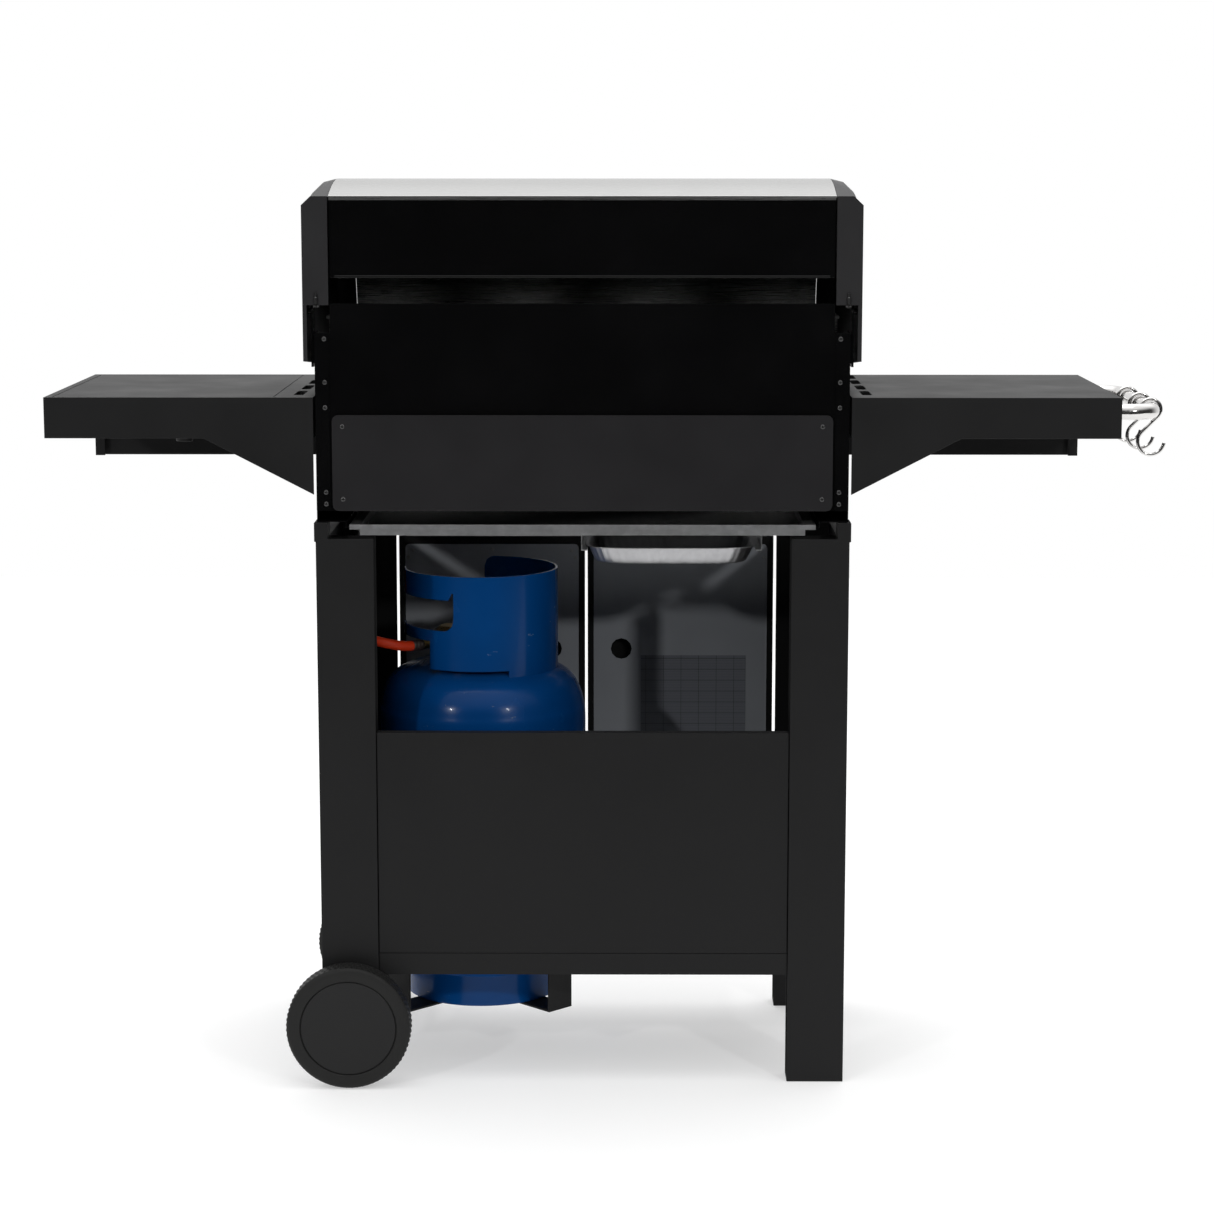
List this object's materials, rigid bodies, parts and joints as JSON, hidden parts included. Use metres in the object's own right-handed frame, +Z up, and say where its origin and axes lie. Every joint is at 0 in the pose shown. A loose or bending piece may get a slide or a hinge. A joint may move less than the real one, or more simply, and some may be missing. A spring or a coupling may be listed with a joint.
{
  "type": "gas barbecue grill",
  "caption": "Wheeled gas barbecue on a two-door cart: hinged lid, firebox, folding side-burner cover, side shelves, towel rail with hooks, pull-out drip tray and a bottle in a cradle.",
  "frame": {"origin": "bottom centre of the bounding box of the whole grill, on the floor", "axes": "+X runs along the width toward the wheels and the side burner, +Y points to the rear, where the tray slides out, and +Z is up; the doors and the control panel face -Y"},
  "size_m": [1.5168, 0.5404, 1.238],
  "materials": {
    "powder_black": "satin black powder coat on folded sheet steel",
    "plate_black": "satin black powder coat, slightly lighter cover plate",
    "enamel_black": "glossy black heat-proof enamel",
    "cap_grey": "dark grey heat-proof paint",
    "liner_grey": "grey painted steel liner in a black door pan",
    "stainless": "brushed stainless steel",
    "galvanised": "bare galvanised or aluminised steel",
    "foil": "crinkled aluminium foil",
    "iron": "matt black enamelled cast iron",
    "bottle_blue": "glossy blue paint, slightly worn",
    "brass": "plain brass",
    "hose_orange": "orange rubber hose",
    "wheel_black": "moulded black plastic with a fine knobbly tread",
    "knob_black": "moulded black plastic"
  },
  "bodies": {
    "cart": {"leg_front_left": "powder_black", "leg_rear_left": "powder_black", "leg_front_right": "powder_black", "leg_rear_right": "powder_black", "side_panel_left": "powder_black", "side_panel_right": "powder_black", "rear_panel": "powder_black", "cabinet_floor": "powder_black", "front_rail": "powder_black", "bottle_cradle": "powder_black", "side_shelf_left": "powder_black", "side_shelf_right": "powder_black", "hob_bowl": "powder_black", "rear_cover": "plate_black", "firebox": "enamel_black", "control_panel": "stainless", "towel_rail": "stainless", "warming_rack": "stainless", "axle": "galvanised", "burner_1": "galvanised", "burner_2": "galvanised", "burner_3": "galvanised", "flame_tamer_1": "galvanised", "flame_tamer_2": "galvanised", "flame_tamer_3": "galvanised", "gas_manifold": "galvanised", "grate_left": "iron", "grate_right": "iron", "hob_burner": "iron", "gas_bottle": "bottle_blue", "bottle_valve": "brass", "gas_hose": "hose_orange"},
    "lid": {"lid_skin": "stainless", "lid_cap_left": "cap_grey", "lid_cap_right": "cap_grey", "lid_rear_panel": "enamel_black", "lid_handle": "stainless", "thermometer": "stainless"},
    "door_left": {"door_left": "liner_grey", "door_handle_left": "stainless"},
    "door_right": {"door_right": "liner_grey", "door_handle_right": "stainless"},
    "wheel_rear": {"wheel_rear": "wheel_black"},
    "wheel_front": {"wheel_front": "wheel_black"},
    "drip_tray": {"drip_tray": "galvanised", "cup_holder": "powder_black"},
    "grease_cup": {"grease_cup": "foil"},
    "hob_cover": {"hob_cover": "powder_black"},
    "hook_1": {"hook_1": "stainless"},
    "hook_2": {"hook_2": "stainless"},
    "hook_3": {"hook_3": "stainless"},
    "handwheel": {"bottle_handwheel": "knob_black"},
    "stem_1": {"valve_stem_1": "galvanised"},
    "knob_1": {"knob_1": "knob_black"},
    "stem_2": {"valve_stem_2": "galvanised"},
    "knob_2": {"knob_2": "knob_black"},
    "stem_3": {"valve_stem_3": "galvanised"},
    "knob_3": {"knob_3": "knob_black"},
    "stem_4": {"valve_stem_4": "galvanised"},
    "knob_4": {"knob_4": "knob_black"}
  },
  "joints": [
    {"name": "lid_hinge", "type": "hinge", "parent": "cart", "child": "lid", "pos_m": [0.03638, 0.21025, 1.064], "axis": [-1, 0, 0], "range_deg": [0, 85]},
    {"name": "door_left_hinge", "type": "hinge", "parent": "cart", "child": "door_left", "pos_m": [-0.23362, -0.15875, 0.45], "axis": [0, 0, -1], "range_deg": [0, 100]},
    {"name": "door_right_hinge", "type": "hinge", "parent": "cart", "child": "door_right", "pos_m": [0.30638, -0.15875, 0.45], "axis": [0, 0, 1], "range_deg": [0, 100]},
    {"name": "wheel_rear_spin", "type": "hinge", "parent": "cart", "child": "wheel_rear", "pos_m": [0.35838, 0.25225, 0.086], "axis": [0, 1, 0], "continuous": true},
    {"name": "wheel_front_spin", "type": "hinge", "parent": "cart", "child": "wheel_front", "pos_m": [0.35838, -0.18775, 0.086], "axis": [0, 1, 0], "continuous": true},
    {"name": "drip_tray_slide", "type": "slide", "parent": "cart", "child": "drip_tray", "axis": [0, 1, 0], "range_m": [0, 0.3]},
    {"name": "grease_cup_slide", "type": "slide", "parent": "drip_tray", "child": "grease_cup", "axis": [0, 1, 0], "range_m": [0, 0.15]},
    {"name": "hob_cover_hinge", "type": "hinge", "parent": "cart", "child": "hob_cover", "pos_m": [0.59938, 0.22175, 0.952], "axis": [-1, 0, 0], "range_deg": [0, 95]},
    {"name": "hook_1_swing", "type": "hinge", "parent": "cart", "child": "hook_1", "pos_m": [-0.73662, 0.15725, 0.928], "axis": [0, 1, 0], "range_deg": [-25, 60]},
    {"name": "hook_2_swing", "type": "hinge", "parent": "cart", "child": "hook_2", "pos_m": [-0.73662, 0.07225, 0.928], "axis": [0, 1, 0], "range_deg": [-25, 60]},
    {"name": "hook_3_swing", "type": "hinge", "parent": "cart", "child": "hook_3", "pos_m": [-0.73662, -0.02775, 0.928], "axis": [0, 1, 0], "range_deg": [-25, 60]},
    {"name": "handwheel_turn", "type": "hinge", "parent": "cart", "child": "handwheel", "pos_m": [0.18338, 0.03225, 0.645], "axis": [0, 0, 1], "range_deg": [0, 720]},
    {"name": "stem_1_push", "type": "slide", "parent": "cart", "child": "stem_1", "axis": [0, 1, 0], "range_m": [0, 0.004], "stiffness_N_per_m": 600, "springref_m": -0.005},
    {"name": "knob_1_turn", "type": "hinge", "parent": "stem_1", "child": "knob_1", "pos_m": [-0.16362, -0.24775, 0.88], "axis": [0, -1, 0], "range_deg": [0, 180]},
    {"name": "stem_2_push", "type": "slide", "parent": "cart", "child": "stem_2", "axis": [0, 1, 0], "range_m": [0, 0.004], "stiffness_N_per_m": 600, "springref_m": -0.005},
    {"name": "knob_2_turn", "type": "hinge", "parent": "stem_2", "child": "knob_2", "pos_m": [0.03638, -0.24775, 0.88], "axis": [0, -1, 0], "range_deg": [0, 180]},
    {"name": "stem_3_push", "type": "slide", "parent": "cart", "child": "stem_3", "axis": [0, 1, 0], "range_m": [0, 0.004], "stiffness_N_per_m": 600, "springref_m": -0.005},
    {"name": "knob_3_turn", "type": "hinge", "parent": "stem_3", "child": "knob_3", "pos_m": [0.23638, -0.24775, 0.88], "axis": [0, -1, 0], "range_deg": [0, 180]},
    {"name": "stem_4_push", "type": "slide", "parent": "cart", "child": "stem_4", "axis": [0, 1, 0], "range_m": [0, 0.004], "stiffness_N_per_m": 600, "springref_m": -0.005},
    {"name": "knob_4_turn", "type": "hinge", "parent": "stem_4", "child": "knob_4", "pos_m": [0.59938, -0.17775, 0.88], "axis": [0, -1, 0], "range_deg": [0, 180]}
  ]
}
